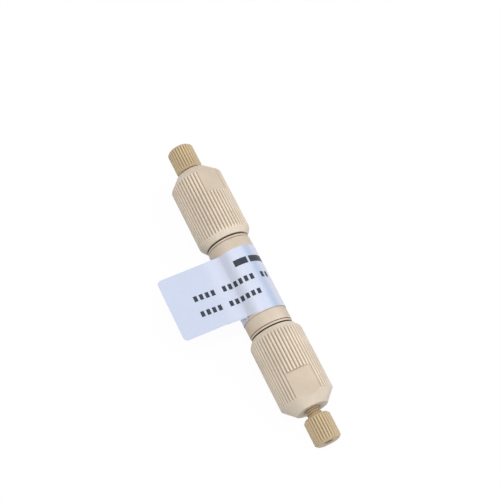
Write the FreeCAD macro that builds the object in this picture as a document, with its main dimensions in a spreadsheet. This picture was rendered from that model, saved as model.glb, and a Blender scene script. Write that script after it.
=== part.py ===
"""Guard column for liquid chromatography.

A plastic tube holds the packed bed. At each end a fluted nut clamps a frit, in its sealing ring, against the
tube, and a finger-tight plug closes the nut's port. A film label goes round the tube and stands off it as a flag.

Frame: millimetres, origin on the column's axis at the middle of the bed, +X along the axis to the outlet, +Z up.
"""
import FreeCAD, Part
import os

import Sketcher
from FreeCAD import Placement, Rotation, Vector

# Every driving dimension, in millimetres, degrees or counts. The spreadsheet "Sizes" holds them under these names.
SIZES = {
    # bed and tube
    "bed_length": 50.0,  # packed bed, which fills the tube from end to end
    "bed_diameter": 4.0,  # bore of the tube
    "bed_clearance": 0.02,  # radial, packing to bore
    "tube_diameter": 14.3,
    "tube_engagement": 8.4,  # length of each tube end inside its nut
    "tube_thread_diameter": 13.2,  # crest of the external thread
    "relief_diameter": 12.2,  # turned neck between the shoulder and the thread
    "relief_length": 0.9,
    "shoulder_gap": 0.55,  # open ring between the tube's shoulder and the nut's rim
    "shoulder_width": 0.6,  # narrow ring at the end of the barrel
    "shoulder_step": 0.12,  # radial, barrel down to the ring
    "line_width": 0.25,  # fine turned line behind the ring
    "line_depth": 0.22,
    # frit and the ring that seals it on the tube's end
    "ring_diameter": 9.0,
    "ring_length": 2.0,
    "ring_seat_depth": 1.2,  # depth of the nut's recess for the ring
    "ring_clearance": 0.05,  # radial, ring to recess
    "frit_diameter": 5.2,
    "frit_length": 1.0,
    "frit_clearance": 0.02,  # radial, frit to ring
    "distributor_depth": 0.4,  # shallow cone behind the frit
    "passage_diameter": 0.6,  # liquid way through ring and nut
    # end nut
    "nut_diameter": 17.5,
    "nut_length": 27.15,
    "nut_face_diameter": 10.6,  # flat end of the nose
    "nose_angle": 45.0,  # from the axis
    "rim_wall": 0.6,  # radial, from the thread's bore to the bevel's edge at the tube side
    "rim_length": 2.0,
    "thread_clearance": 0.05,  # radial, in both threads
    "flute_count": 46,
    "flute_depth": 0.4,
    "flute_mouth": 0.9,
    "flat_depth": 0.75,  # each wrench flat below the crests
    "flat_length": 7.25,  # along the fluted part, up to the nose
    "inlet_turn": 3.5,  # turn of each nut's flats from upright, in flute pitches: with a half, the nut rests
    "outlet_turn": 0.5,  # on two ridges
    # port in the nose, for a 10-32 fitting on 1/16 inch tubing
    "port_diameter": 4.83,  # crest of the plug's thread
    "port_depth": 8.0,
    "port_chamfer": 0.3,
    "cone_mouth": 4.0,
    "cone_half_angle": 20.0,
    "pocket_diameter": 1.6,
    "pocket_depth": 1.5,
    # plug
    "plug_diameter": 8.7,
    "plug_length": 8.6,  # fluted head
    "plug_chamfer": 0.65,
    "plug_gap": 1.2,  # head to nut with the plug screwed home
    "plug_tip_relief": 0.6,  # end of the thread short of the port's shoulder
    "plug_tip_diameter": 1.8,
    "plug_seat_clearance": 0.05,  # along the axis, cone to cone
    "outlet_backoff": 1.3,  # the outlet plug stands this far out of its seat
    "recess_diameter": 3.0,
    "recess_depth": 4.5,
    "recess_sink": 0.25,  # bevel at its mouth
    "plug_flute_count": 28,
    "plug_flute_depth": 0.32,
    "plug_flute_mouth": 0.7,
    # label
    "film_thickness": 0.1,
    "film_clearance": 0.03,  # adhesive between film and tube
    "label_width": 22.6,  # along the column
    "label_shift": -0.35,  # of its middle from the middle of the bed
    "leave_angle": 28.0,  # from straight up, where the upper film leaves the tube
    "leave_length": 2.3,  # straight stretch from there to the crease
    "return_angle": 101.0,  # from straight up, where the lower film leaves the tube
    "flag_rise": 5.0,  # slope of the flag, upwards to its tip
    "flag_reach": 26.5,  # tip of the flag from the axis
    "lap_reach": 12.7,  # end of the lower film, stuck under the flag
    "flag_corner": 1.4,
}

OVERCUT = 1.0  # how far a cut's outline runs past the surface that it cuts

doc = FreeCAD.newDocument("guard_column")
sheet = doc.addObject("Spreadsheet::Sheet", "Sizes")
for row, (alias, value) in enumerate(SIZES.items(), start=1):
    sheet.set(f"A{row}", alias)
    sheet.set(f"B{row}", str(value))
    sheet.setAlias(f"B{row}", alias)
doc.recompute()

# Places along the column, outwards from the middle of the bed, and radii, as expressions on the sheet.
TUBE_END = "Sizes.bed_length / 2"
NUT_RIM = f"({TUBE_END} - Sizes.tube_engagement)"
NUT_FACE = f"({NUT_RIM} + Sizes.nut_length)"
BED_R = "Sizes.bed_diameter / 2"
TUBE_R = "Sizes.tube_diameter / 2"
TUBE_THREAD_R = "Sizes.tube_thread_diameter / 2"
NUT_R = "Sizes.nut_diameter / 2"
RING_R = "Sizes.ring_diameter / 2"
PASSAGE_R = "Sizes.passage_diameter / 2"
PORT_R = "Sizes.port_diameter / 2"
CONE_R = "Sizes.cone_mouth / 2"
PLUG_R = "Sizes.plug_diameter / 2"

INLET = {"name": "inlet", "side": -1, "yaw": 180, "plug_out": "0"}
OUTLET = {"name": "outlet", "side": 1, "yaw": 0, "plug_out": "Sizes.outlet_backoff"}


def origin_feature(body, role):
    """A body's own origin plane or axis, by its role."""
    return next(f for f in body.Origin.OriginFeatures if f.Role == role)


def new_body(label):
    body = doc.addObject("PartDesign::Body", label)
    body.Label = label
    return body


def new_sketch(body, name, plane):
    sketch = body.newObject("Sketcher::SketchObject", name)
    sketch.AttachmentSupport = [(origin_feature(body, plane), "")]
    sketch.MapMode = "FlatFace"
    return sketch


def bind(sketch, kind, geometry, point, expression, name):
    """One coordinate of a point, held by an expression; a plain zero puts the point on the axis."""
    if expression == "0":
        axis = -2 if kind == "DistanceX" else -1
        sketch.addConstraint(Sketcher.Constraint("PointOnObject", geometry, point, axis))
        return
    value = float(sketch.evalExpression(expression))
    index = sketch.addConstraint(Sketcher.Constraint(kind, geometry, point, value))
    sketch.renameConstraint(index, name)
    sketch.setExpression(f"Constraints.{name}", expression)


def add_line(sketch, start, end, tag):
    """A line whose start is bound to the pair of expressions; its end follows the next line's start."""
    corners = [Vector(*(float(sketch.evalExpression(e)) for e in pair), 0) for pair in (start, end)]
    line = sketch.addGeometry(Part.LineSegment(*corners))
    bind(sketch, "DistanceX", line, 1, start[0], f"{tag}_x")
    bind(sketch, "DistanceY", line, 1, start[1], f"{tag}_y")
    return line


def outline(body, name, plane, corners):
    """A closed outline of straight lines in one of the body's planes."""
    sketch = new_sketch(body, name, plane)
    ends = corners[1:] + corners[:1]
    lines = [add_line(sketch, a, b, f"p{i}") for i, (a, b) in enumerate(zip(corners, ends))]
    for line, following in zip(lines, lines[1:] + lines[:1]):
        sketch.addConstraint(Sketcher.Constraint("Coincident", line, 2, following, 1))
    return sketch


def revolve(body, corners):
    """Turn an outline, given as (along the axis, radius), about the body's X axis."""
    sketch = outline(body, "Section", "XZ_Plane", corners)
    turned = body.newObject("PartDesign::Revolution", "Turned")
    turned.Profile = sketch
    turned.ReferenceAxis = (sketch, ["H_Axis"])
    turned.Angle = 360
    doc.recompute()
    return turned


def cut_round(body, sketch, count, length=None):
    """Cut the sketch through the body, or along +X for a length, and repeat the cut round the X axis."""
    before = body.Shape.Volume
    cut = body.newObject("PartDesign::Pocket", f"{sketch.Label}Cut")
    cut.Profile = sketch
    if length is None:
        cut.Type = "ThroughAll"
        cut.Midplane = True
    else:
        cut.Reversed = True
        cut.setExpression("Length", length)
    pattern = body.newObject("PartDesign::PolarPattern", f"{sketch.Label}Pattern")
    pattern.Originals = [cut]
    pattern.Axis = (origin_feature(body, "X_Axis"), [""])
    pattern.Angle = 360
    pattern.setExpression("Occurrences", count)
    body.Tip = pattern
    doc.recompute()
    if not body.Shape.Volume < before:
        raise RuntimeError(f"{body.Label}: {sketch.Label} cuts nothing")


def cut_flutes(body, radius, size, start, length):
    """Straight V-shaped grooves along a grip of the given radius; a ridge stands at the top."""
    corners = [
        ("0", f"{radius} - {size}_depth"),
        (f"{size}_mouth", f"{radius} + {size}_depth"),
        (f"-{size}_mouth", f"{radius} + {size}_depth"),
    ]
    sketch = outline(body, "Flute", "YZ_Plane", corners)
    half_pitch = float(body.evalExpression(f"180 / {size}_count"))
    sketch.AttachmentOffset = Placement(Vector(), Rotation(Vector(0, 0, 1), half_pitch))
    sketch.setExpression(".AttachmentOffset.Base.z", start)
    cut_round(body, sketch, f"{size}_count", length)


def seat_at(piece, end, along, roll=0.0):
    """Put a piece drawn outwards from its own seat at its end of the column."""
    piece.Placement = Placement(Vector(), Rotation(end["yaw"], 0, roll))
    piece.setExpression(".Placement.Base.x", f"{end['side']} * ({along})")


def column_tube():
    """Barrel with a shoulder ring, a relief and a threaded length at each end."""
    body = new_body("column_tube")
    ring_face = f"{NUT_RIM} - Sizes.shoulder_gap"
    ring_back = f"{ring_face} - Sizes.shoulder_width"
    line_back = f"{ring_back} - Sizes.line_width"
    neck_r = "Sizes.relief_diameter / 2"
    half = [
        (line_back, TUBE_R),
        (line_back, f"{TUBE_R} - Sizes.line_depth"),
        (ring_back, f"{TUBE_R} - Sizes.line_depth"),
        (ring_back, f"{TUBE_R} - Sizes.shoulder_step"),
        (ring_face, f"{TUBE_R} - Sizes.shoulder_step"),
        (ring_face, neck_r),
        (f"{ring_face} + Sizes.relief_length", neck_r),
        (f"{ring_face} + Sizes.relief_length + {TUBE_THREAD_R} - {neck_r}", TUBE_THREAD_R),
        (TUBE_END, TUBE_THREAD_R),
        (TUBE_END, BED_R),
    ]
    other_half = [(f"-({along})", radius) for along, radius in reversed(half)]
    revolve(body, half + other_half)
    return body


def rod(label, radius, length, end, along):
    """A plain cylinder along the X axis, outwards from its seat."""
    cylinder = doc.addObject("Part::Cylinder", label)
    cylinder.Label = label
    cylinder.setExpression("Radius", radius)
    cylinder.setExpression("Height", length)
    cylinder.Placement = Placement(Vector(), Rotation(Vector(0, 1, 0), 90 * end["side"]))
    cylinder.setExpression(".Placement.Base.x", f"{end['side']} * ({along})")
    return cylinder


def packed_bed():
    return rod("packed_bed", f"{BED_R} - Sizes.bed_clearance", "Sizes.bed_length", OUTLET, f"-{TUBE_END}")


def frit(end):
    """Porous disc on the end of the bed."""
    return rod(f"{end['name']}_frit", "Sizes.frit_diameter / 2", "Sizes.frit_length", end, TUBE_END)


def frit_ring(end):
    """Sealing ring with a pocket for the frit and a shallow cone that gathers the flow."""
    body = new_body(f"{end['name']}_frit_ring")
    pocket_r = "(Sizes.frit_diameter / 2 + Sizes.frit_clearance)"
    revolve(body, [
        ("0", RING_R),
        ("Sizes.ring_length", RING_R),
        ("Sizes.ring_length", PASSAGE_R),
        ("Sizes.frit_length + Sizes.distributor_depth", PASSAGE_R),
        ("Sizes.frit_length", BED_R),
        ("Sizes.frit_length", pocket_r),
        ("0", pocket_r),
    ])
    seat_at(body, end, TUBE_END)
    return body


def end_nut(end):
    """Fluted nut with two wrench flats; drawn outwards from its rim at the tube side."""
    body = new_body(f"{end['name']}_end_nut")
    nose_start = "(Sizes.nut_length - (Sizes.nut_diameter - Sizes.nut_face_diameter) / 2 / tan(Sizes.nose_angle))"
    thread_r = f"({TUBE_THREAD_R} + Sizes.thread_clearance)"
    recess_r = f"({RING_R} + Sizes.ring_clearance)"
    ring_floor = "(Sizes.tube_engagement + Sizes.ring_length)"
    end_wall = f"({ring_floor} - Sizes.ring_seat_depth)"
    port_r = f"({PORT_R} + Sizes.thread_clearance)"
    port_floor = "(Sizes.nut_length - Sizes.port_depth)"
    cone_end = f"({port_floor} - (Sizes.cone_mouth - Sizes.pocket_diameter) / 2 / tan(Sizes.cone_half_angle))"
    pocket_r = "Sizes.pocket_diameter / 2"
    revolve(body, [
        ("0", f"{thread_r} + Sizes.rim_wall"),
        ("Sizes.rim_length", NUT_R),
        (nose_start, NUT_R),
        ("Sizes.nut_length", "Sizes.nut_face_diameter / 2"),
        ("Sizes.nut_length", f"{port_r} + Sizes.port_chamfer"),
        ("Sizes.nut_length - Sizes.port_chamfer", port_r),
        (port_floor, port_r),
        (port_floor, CONE_R),
        (cone_end, pocket_r),
        (f"{cone_end} - Sizes.pocket_depth", pocket_r),
        (f"{cone_end} - Sizes.pocket_depth", PASSAGE_R),
        (ring_floor, PASSAGE_R),
        (ring_floor, recess_r),
        (end_wall, recess_r),
        (end_wall, thread_r),
        ("0", thread_r),
    ])
    cut_flutes(body, NUT_R, "Sizes.flute", "Sizes.rim_length", "Sizes.nut_length - Sizes.rim_length")
    flat_level = f"{NUT_R} - Sizes.flat_depth"
    flat = outline(body, "Flat", "XZ_Plane", [
        (f"{nose_start} - Sizes.flat_length", flat_level),
        (f"Sizes.nut_length + {OVERCUT}", flat_level),
        (f"Sizes.nut_length + {OVERCUT}", f"{NUT_R} + {OVERCUT}"),
        (f"{nose_start} - Sizes.flat_length", f"{NUT_R} + {OVERCUT}"),
    ])
    cut_round(body, flat, "2")
    turn = float(body.evalExpression(f"Sizes.{end['name']}_turn * 360 / Sizes.flute_count"))
    seat_at(body, end, NUT_RIM, roll=-end["side"] * turn)
    return body


def plug(end):
    """Finger-tight stop plug; drawn outwards from under its head, with its shank and cone the other way."""
    body = new_body(f"{end['name']}_plug")
    seat = "(Sizes.plug_gap + Sizes.port_depth)"
    cone_start = f"({seat} - Sizes.plug_seat_clearance)"
    cone_end = f"({cone_start} + (Sizes.cone_mouth - Sizes.plug_tip_diameter) / 2 / tan(Sizes.cone_half_angle))"
    thread_end = f"({seat} - Sizes.plug_tip_relief)"
    recess_r = "Sizes.recess_diameter / 2"
    recess_floor = "(Sizes.plug_length - Sizes.recess_depth)"
    revolve(body, [
        (recess_floor, "0"),
        (recess_floor, recess_r),
        ("Sizes.plug_length - Sizes.recess_sink", recess_r),
        ("Sizes.plug_length", f"{recess_r} + Sizes.recess_sink"),
        ("Sizes.plug_length", f"{PLUG_R} - Sizes.plug_chamfer"),
        ("Sizes.plug_length - Sizes.plug_chamfer", PLUG_R),
        ("Sizes.plug_chamfer", PLUG_R),
        ("0", f"{PLUG_R} - Sizes.plug_chamfer"),
        ("0", PORT_R),
        (f"-{thread_end}", PORT_R),
        (f"-{cone_start}", CONE_R),
        (f"-{cone_end}", "Sizes.plug_tip_diameter / 2"),
        (f"-{cone_end}", "0"),
    ])
    cut_flutes(body, PLUG_R, "Sizes.plug_flute", "Sizes.plug_chamfer", "Sizes.plug_length - 2 * Sizes.plug_chamfer")
    half_pitch = float(body.evalExpression("180 / Sizes.plug_flute_count"))
    seat_at(body, end, f"{NUT_FACE} + Sizes.plug_gap + {end['plug_out']}", roll=half_pitch)
    return body


def flag_label():
    """One film: its upper part leaves the tube as the flag, its lower part comes round and laps under it."""
    body = new_body("flag_label")
    inner = f"({TUBE_R} + Sizes.film_clearance)"
    outer = f"({inner} + Sizes.film_thickness)"
    slope = "tan(Sizes.flag_rise)"
    leave, back = "Sizes.leave_angle", "Sizes.return_angle"
    crease_y = f"(-{outer} * sin({leave}) - Sizes.leave_length * cos({leave}))"
    crease_z = f"({outer} * cos({leave}) - Sizes.leave_length * sin({leave}))"

    def on_flag(y, down):
        """A point of the flag at y, so many films below its upper face."""
        return y, f"{crease_z} - ({y} - {crease_y}) * {slope} - {down} * Sizes.film_thickness"

    def fold(radius, down):
        """Where the lower film, tangent to the tube, meets the flag."""
        level = f"({crease_z} + {crease_y} * {slope} - {down} * Sizes.film_thickness)"
        run = (f"(({level} + {radius} * (sin({back}) * {slope} - cos({back})))"
               f" / (sin({back}) + cos({back}) * {slope}))")
        return on_flag(f"({run} * cos({back}) - {radius} * sin({back}))", down)

    def on_tube(radius, angle):
        return f"-{radius} * sin({angle})", f"{radius} * cos({angle})"

    sketch = new_sketch(body, "Film", "YZ_Plane")
    tip_under = "(-Sizes.flag_reach - Sizes.film_thickness * sin(Sizes.flag_rise) * cos(Sizes.flag_rise))"
    outer_path = [
        on_tube(outer, leave), (crease_y, crease_z), on_flag("-Sizes.flag_reach", 0), on_flag(tip_under, 1),
        on_flag("-Sizes.lap_reach", 1), on_flag("-Sizes.lap_reach", 2), fold(outer, 2), on_tube(outer, back),
    ]
    inner_path = [on_tube(inner, leave), on_flag(crease_y, 1), fold(inner, 1), on_tube(inner, back)]
    for tag, radius, path in (("o", outer, outer_path), ("i", inner, inner_path)):
        lines = [add_line(sketch, a, b, f"{tag}{i}") for i, (a, b) in enumerate(zip(path, path[1:]))]
        for line, following in zip(lines, lines[1:]):
            sketch.addConstraint(Sketcher.Constraint("Coincident", line, 2, following, 1))
        size = float(sketch.evalExpression(radius))
        first, last = (Vector(*(float(sketch.evalExpression(e)) for e in pair), 0) for pair in (path[0], path[-1]))
        under = Vector(0, -size, 0)
        arc = sketch.addGeometry(Part.Arc(last, under, first))
        sketch.addConstraint(Sketcher.Constraint("Coincident", arc, 3, -1, 1))
        sketch.addConstraint(Sketcher.Constraint("Coincident", arc, 1, lines[-1], 2))
        sketch.addConstraint(Sketcher.Constraint("Coincident", arc, 2, lines[0], 1))
        bind(sketch, "DistanceX", arc, 1, path[-1][0], f"{tag}_back_x")
    film = body.newObject("PartDesign::Pad", "Wrapped")
    film.Profile = sketch
    film.Midplane = True
    film.setExpression("Length", "Sizes.label_width")
    doc.recompute()
    reach = sheet.get("flag_reach")
    corner_edges = [
        f"Edge{number}" for number, edge in enumerate(film.Shape.Edges, start=1)
        if all(v.Y < 1e-4 - reach for v in edge.Vertexes) and abs(edge.Vertexes[0].X - edge.Vertexes[-1].X) < 1e-4
    ]
    corners = body.newObject("PartDesign::Fillet", "Corners")
    corners.Base = (film, corner_edges)
    corners.setExpression("Radius", "Sizes.flag_corner")
    body.Tip = corners
    body.setExpression(".Placement.Base.x", "Sizes.label_shift")
    return body


pieces = [column_tube(), packed_bed(), flag_label()]
for column_end in (INLET, OUTLET):
    pieces += [frit_ring(column_end), frit(column_end), end_nut(column_end), plug(column_end)]
doc.recompute()

for item in doc.Objects:
    if "Invalid" in item.State or "Error" in item.State:
        raise RuntimeError(f"{item.Label}: {item.State}")
for piece in pieces:
    if piece.Shape.isNull() or not piece.Shape.isValid() or len(piece.Shape.Solids) != 1:
        raise RuntimeError(f"{piece.Label}: no single valid solid")

os.makedirs("parts", exist_ok=True)
for piece in pieces:
    piece.Shape.exportStep(f"parts/{piece.Label}.step")
    box = piece.Shape.BoundBox
    print(f"{piece.Label}: volume {piece.Shape.Volume:.2f} mm3, x {box.XMin:.2f} to {box.XMax:.2f}, "
          f"y {box.YMin:.2f} to {box.YMax:.2f}, z {box.ZMin:.2f} to {box.ZMax:.2f}")
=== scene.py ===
"""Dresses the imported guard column: its tube, end nuts, finger plugs, bed supports and wrapped label.

Sizes in the classes are millimetres and degrees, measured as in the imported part: the column's axis is X, the
middle of the bed is the origin and Z is up. Meshes are written in metres.
"""
import sys
import logging
import math
from collections.abc import Iterable
from dataclasses import dataclass, field, replace
from enum import Enum
from functools import cache

import bmesh
import bpy
import numpy as np
from mathutils import Matrix, Vector


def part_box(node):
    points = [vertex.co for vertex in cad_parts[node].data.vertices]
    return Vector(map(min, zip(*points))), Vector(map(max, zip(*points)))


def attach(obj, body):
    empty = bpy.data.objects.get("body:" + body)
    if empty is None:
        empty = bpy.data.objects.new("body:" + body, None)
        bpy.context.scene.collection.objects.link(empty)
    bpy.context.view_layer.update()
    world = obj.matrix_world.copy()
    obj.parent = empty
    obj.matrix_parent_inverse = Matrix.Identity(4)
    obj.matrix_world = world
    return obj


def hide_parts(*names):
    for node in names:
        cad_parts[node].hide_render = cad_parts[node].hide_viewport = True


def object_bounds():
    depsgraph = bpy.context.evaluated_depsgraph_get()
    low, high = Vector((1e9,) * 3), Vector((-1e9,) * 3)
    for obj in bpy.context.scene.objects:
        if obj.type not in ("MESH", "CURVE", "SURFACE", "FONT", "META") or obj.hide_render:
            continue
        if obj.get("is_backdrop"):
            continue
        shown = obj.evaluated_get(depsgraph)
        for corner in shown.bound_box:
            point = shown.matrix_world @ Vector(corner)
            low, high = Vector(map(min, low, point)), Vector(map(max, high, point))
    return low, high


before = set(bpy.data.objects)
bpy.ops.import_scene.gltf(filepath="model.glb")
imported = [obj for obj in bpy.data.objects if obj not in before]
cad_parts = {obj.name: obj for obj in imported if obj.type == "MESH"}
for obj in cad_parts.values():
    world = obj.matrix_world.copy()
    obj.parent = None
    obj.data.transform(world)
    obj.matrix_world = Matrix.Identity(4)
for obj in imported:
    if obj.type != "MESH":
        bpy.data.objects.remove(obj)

log = logging.getLogger("guard_column")

MM = 0.001
PAINTED_SHADE = "hollow"  # point attribute of painted shade: 0 on an open surface, 1 at the bottom of a groove or bore
SWEEP = "sweep"  # point attribute of the label: share of the film's length from the flag's tip
Corner = tuple[float, float, float]  # along the axis, radius, rounding of the corner
Point = tuple[float, float]
Triple = tuple[float, float, float]
RGB = Triple  # display values, 0 to 255
Socket = bpy.types.NodeSocket
Inputs = bpy.types.NodeInputs
Pieces = list[bpy.types.Object]


# Finishes


def linear(colour: Iterable[float]) -> tuple[float, float, float, float]:
    """Turn a display colour into the linear values that shaders take, with full opacity.

    Args:
        colour: Red, green and blue, 0 to 255.

    Returns:
        The linear colour.
    """
    shares = [channel / 255 for channel in colour]
    return (*(s / 12.92 if s <= 0.04045 else ((s + 0.055) / 1.055) ** 2.4 for s in shares), 1.0)


class NodeBoard:
    """The node tree of one material, or of the world, while it is wired."""

    def __init__(self, owner: bpy.types.Material | bpy.types.World) -> None:
        """Empty the owner's tree.

        Args:
            owner: The material or world.
        """
        owner.use_nodes = True
        self.tree = owner.node_tree
        self.tree.nodes.clear()
        kind = "World" if isinstance(owner, bpy.types.World) else "Material"
        self.output = self.add(f"ShaderNodeOutput{kind}")

    def add(self, kind: str, **settings: object) -> bpy.types.Node:
        """Add a node and set its properties and inputs.

        Args:
            kind: Blender's type name of the node.
            **settings: Properties by name; a name that is an input, with spaces as underscores, sets that input.

        Returns:
            The new node.
        """
        node = self.tree.nodes.new(kind)
        for key, value in settings.items():
            if hasattr(node, key):
                setattr(node, key, value)
            else:
                node.inputs[key.replace("_", " ")].default_value = value
        return node

    def wire(self, source: Socket, target: Socket) -> None:
        """Join an output to an input."""
        self.tree.links.new(source, target)

    def place(self, scale: Triple = (1.0, 1.0, 1.0)) -> Socket:
        """Coordinates on the piece itself, in metres.

        Args:
            scale: Stretch of the coordinates along each axis.

        Returns:
            The socket that gives the coordinates.
        """
        coordinates = self.add("ShaderNodeTexCoord")
        mapping = self.add("ShaderNodeMapping")
        mapping.inputs["Scale"].default_value = scale
        self.wire(coordinates.outputs["Object"], mapping.inputs["Vector"])
        return mapping.outputs["Vector"]

    def noise(self, size: float, detail: float = 2.0,
              stretch: Triple = (1.0, 1.0, 1.0)) -> Socket:
        """Soft random patches.

        Args:
            size: Width of a patch in millimetres.
            detail: Octaves of finer structure.
            stretch: Scale of the coordinates along each axis.

        Returns:
            The socket with values about 0.5.
        """
        texture = self.add("ShaderNodeTexNoise", Scale=1.0 / (size * MM), Detail=detail)
        self.wire(self.place(stretch), texture.inputs["Vector"])
        return texture.outputs["Fac"]

    def spread(self, source: Socket, low: float, high: float) -> Socket:
        """Map values of 0.3 to 0.7 to a range of the caller's choice.

        Args:
            source: Socket with values about 0.5.
            low: Value given for 0.3.
            high: Value given for 0.7.

        Returns:
            The socket with the mapped values.
        """
        ranged = self.add("ShaderNodeMapRange", From_Min=0.3, From_Max=0.7, To_Min=low, To_Max=high)
        self.wire(source, ranged.inputs["Value"])
        return ranged.outputs["Result"]

    def mix(self, share: Socket, first: object, second: object) -> Socket:
        """Blend two colours.

        Args:
            share: Socket with the share of the second colour.
            first: Colour or socket shown at 0.
            second: Colour or socket shown at 1.

        Returns:
            The socket with the blended colour.
        """
        node = self.add("ShaderNodeMix", data_type="RGBA")
        self.wire(share, node.inputs[0])
        for socket, value in ((node.inputs[6], first), (node.inputs[7], second)):
            if isinstance(value, Socket):
                self.wire(value, socket)
            else:
                socket.default_value = value
        return node.outputs[2]

    def hollow(self) -> Socket:
        """The painted shade of a point, from 0 to 1, which grows with how deep it lies in a groove or bore."""
        return self.add("ShaderNodeAttribute", attribute_name=PAINTED_SHADE).outputs["Fac"]

    def bump(self, height: Socket, depth: float,
             under: Socket | None = None) -> Socket:
        """Turn heights into a bumped normal.

        Args:
            height: Socket with heights of 0 to 1.
            depth: Height of 1, in millimetres.
            under: Normal of a coarser bump to build on.

        Returns:
            The socket with the normal.
        """
        node = self.add("ShaderNodeBump", Strength=1.0, Distance=depth * MM)
        self.wire(height, node.inputs["Height"])
        if under is not None:
            self.wire(under, node.inputs["Normal"])
        return node.outputs["Normal"]


@dataclass(frozen=True)
class Recipe:
    """What every finish has: a colour and one shader."""

    colour: RGB

    def shade(self, share: float) -> tuple[float, float, float, float]:
        """The colour made darker or paler, as a linear colour."""
        return linear(c * share for c in self.colour)

    def make(self, name: str) -> bpy.types.Material:
        """Build the material.

        Args:
            name: Its name.

        Returns:
            The material.
        """
        made = bpy.data.materials.new(name)
        board = NodeBoard(made)
        shader = board.add("ShaderNodeBsdfPrincipled")
        self.dress(board, shader.inputs)
        board.wire(shader.outputs["BSDF"], board.output.inputs["Surface"])
        return made

    def dress(self, board: NodeBoard, inputs: Inputs) -> None:
        """Set and wire the shader's inputs; each kind of finish has its own.

        Args:
            board: The material's board.
            inputs: The shader's inputs.
        """
        raise NotImplementedError


@dataclass(frozen=True)
class TurnedPlastic(Recipe):
    """Natural, slightly translucent engineering plastic with fine tool lines round the axis, darkened by painted
    shade in its grooves and bores.
    """

    hollow_colour: RGB  # painted shade: the colour shown where the painted shade is full
    mottle: float = 0.05  # share by which the colour wanders
    roughness: tuple[float, float] = (0.36, 0.5)
    glow: float = 0.08  # share of light that travels under the surface
    tool_pitch: float = 0.12
    tool_depth: float = 0.0012

    def dress(self, board: NodeBoard, inputs: Inputs) -> None:
        """Wire this finish, as in Recipe.

        Args:
            board: The material's board.
            inputs: The shader's inputs.
        """
        inputs["IOR"].default_value = 1.5
        inputs["Subsurface Weight"].default_value = self.glow
        inputs["Subsurface Radius"].default_value = (1.0, 0.75, 0.5)
        inputs["Subsurface Scale"].default_value = 0.6 * MM
        deep, pale = self.shade(1 - self.mottle), self.shade(1 + self.mottle * 0.5)
        clouds = board.spread(board.noise(7.0, detail=3.0), 0.0, 1.0)
        tinted = board.mix(clouds, deep, pale)
        specks = board.spread(board.noise(0.35, detail=1.0), 0.0, 0.12)
        tinted = board.mix(specks, tinted, self.shade(0.86))
        # painted shade: the colour darkens towards the shade colour as the mesh's painted shade attribute rises
        board.wire(board.mix(board.hollow(), tinted, linear(self.hollow_colour)), inputs["Base Color"])
        board.wire(board.spread(board.noise(1.6, detail=3.0), *self.roughness), inputs["Roughness"])
        lines = board.noise(self.tool_pitch, detail=1.0, stretch=(1.0, 0.02, 0.02))
        grain = board.bump(board.noise(0.28, detail=2.0), self.tool_depth * 2)
        board.wire(board.bump(lines, self.tool_depth, grain), inputs["Normal"])


@dataclass(frozen=True)
class Sintered(Recipe):
    """Pressed or packed grains: the frits and the bed."""

    grain: float  # width of a grain, millimetres
    relief: float  # height of the grains, millimetres

    def dress(self, board: NodeBoard, inputs: Inputs) -> None:
        """Wire this finish, as in Recipe.

        Args:
            board: The material's board.
            inputs: The shader's inputs.
        """
        inputs["IOR"].default_value = 1.45
        cells = board.add("ShaderNodeTexVoronoi", Scale=1.0 / (self.grain * MM))
        board.wire(board.place(), cells.inputs["Vector"])
        shade = board.add("ShaderNodeMapRange", From_Min=0.0, From_Max=0.8, To_Min=0.0, To_Max=1.0)
        board.wire(cells.outputs["Distance"], shade.inputs["Value"])
        board.wire(board.mix(shade.outputs["Result"], self.shade(1.0), self.shade(0.82)), inputs["Base Color"])
        board.wire(board.spread(board.noise(self.grain * 3), 0.7, 0.9), inputs["Roughness"])
        board.wire(board.bump(cells.outputs["Distance"], self.relief), inputs["Normal"])


@dataclass(frozen=True)
class LabelFilm(Recipe):
    """Satin plastic label stock: cool white, with lengthwise bands of painted reflection where it is bent round the
    tube.
    """

    painted_reflections: tuple[Triple, ...]  # bands of painted reflection: distance along the film, brightness, blueness
    span: float = 72.0  # millimetres of film that the painted reflections' scale covers
    roughness: tuple[float, float] = (0.24, 0.32)

    def painted_reflection_colour(self, board: NodeBoard) -> Socket:
        """The film's colour along its length, with its bands of painted reflection.

        Args:
            board: The material's board.

        Returns:
            The socket with the colour.
        """
        ramp = board.add("ShaderNodeValToRGB")
        board.wire(board.add("ShaderNodeAttribute", attribute_name=SWEEP).outputs["Fac"], ramp.inputs["Fac"])
        stops = ramp.color_ramp.elements
        stops[0].color = stops[1].color = self.shade(1.0)
        ramp.color_ramp.interpolation = "EASE"
        for distance, brightness, blueness in self.painted_reflections:
            red, green, blue = (min(255.0, c * brightness) for c in self.colour)
            stops.new(distance / self.span).color = linear((red - blueness, green, min(255.0, blue + blueness)))
        return ramp.outputs["Color"]

    def dress(self, board: NodeBoard, inputs: Inputs) -> None:
        """Wire this finish, as in Recipe.

        Args:
            board: The material's board.
            inputs: The shader's inputs.
        """
        inputs["IOR"].default_value = 1.48
        inputs["Coat Weight"].default_value = 0.3
        inputs["Coat Roughness"].default_value = 0.15
        patches = board.spread(board.noise(14.0, detail=1.0), 0.0, 0.3)
        board.wire(board.mix(patches, self.painted_reflection_colour(board), self.shade(0.97)), inputs["Base Color"])
        board.wire(board.spread(board.noise(2.5, detail=3.0), *self.roughness), inputs["Roughness"])
        waves = board.bump(board.noise(6.0, detail=1.0, stretch=(0.3, 1.0, 1.0)), 0.02)
        board.wire(board.bump(board.noise(0.22, detail=2.0), 0.0006, waves), inputs["Normal"])


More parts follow.
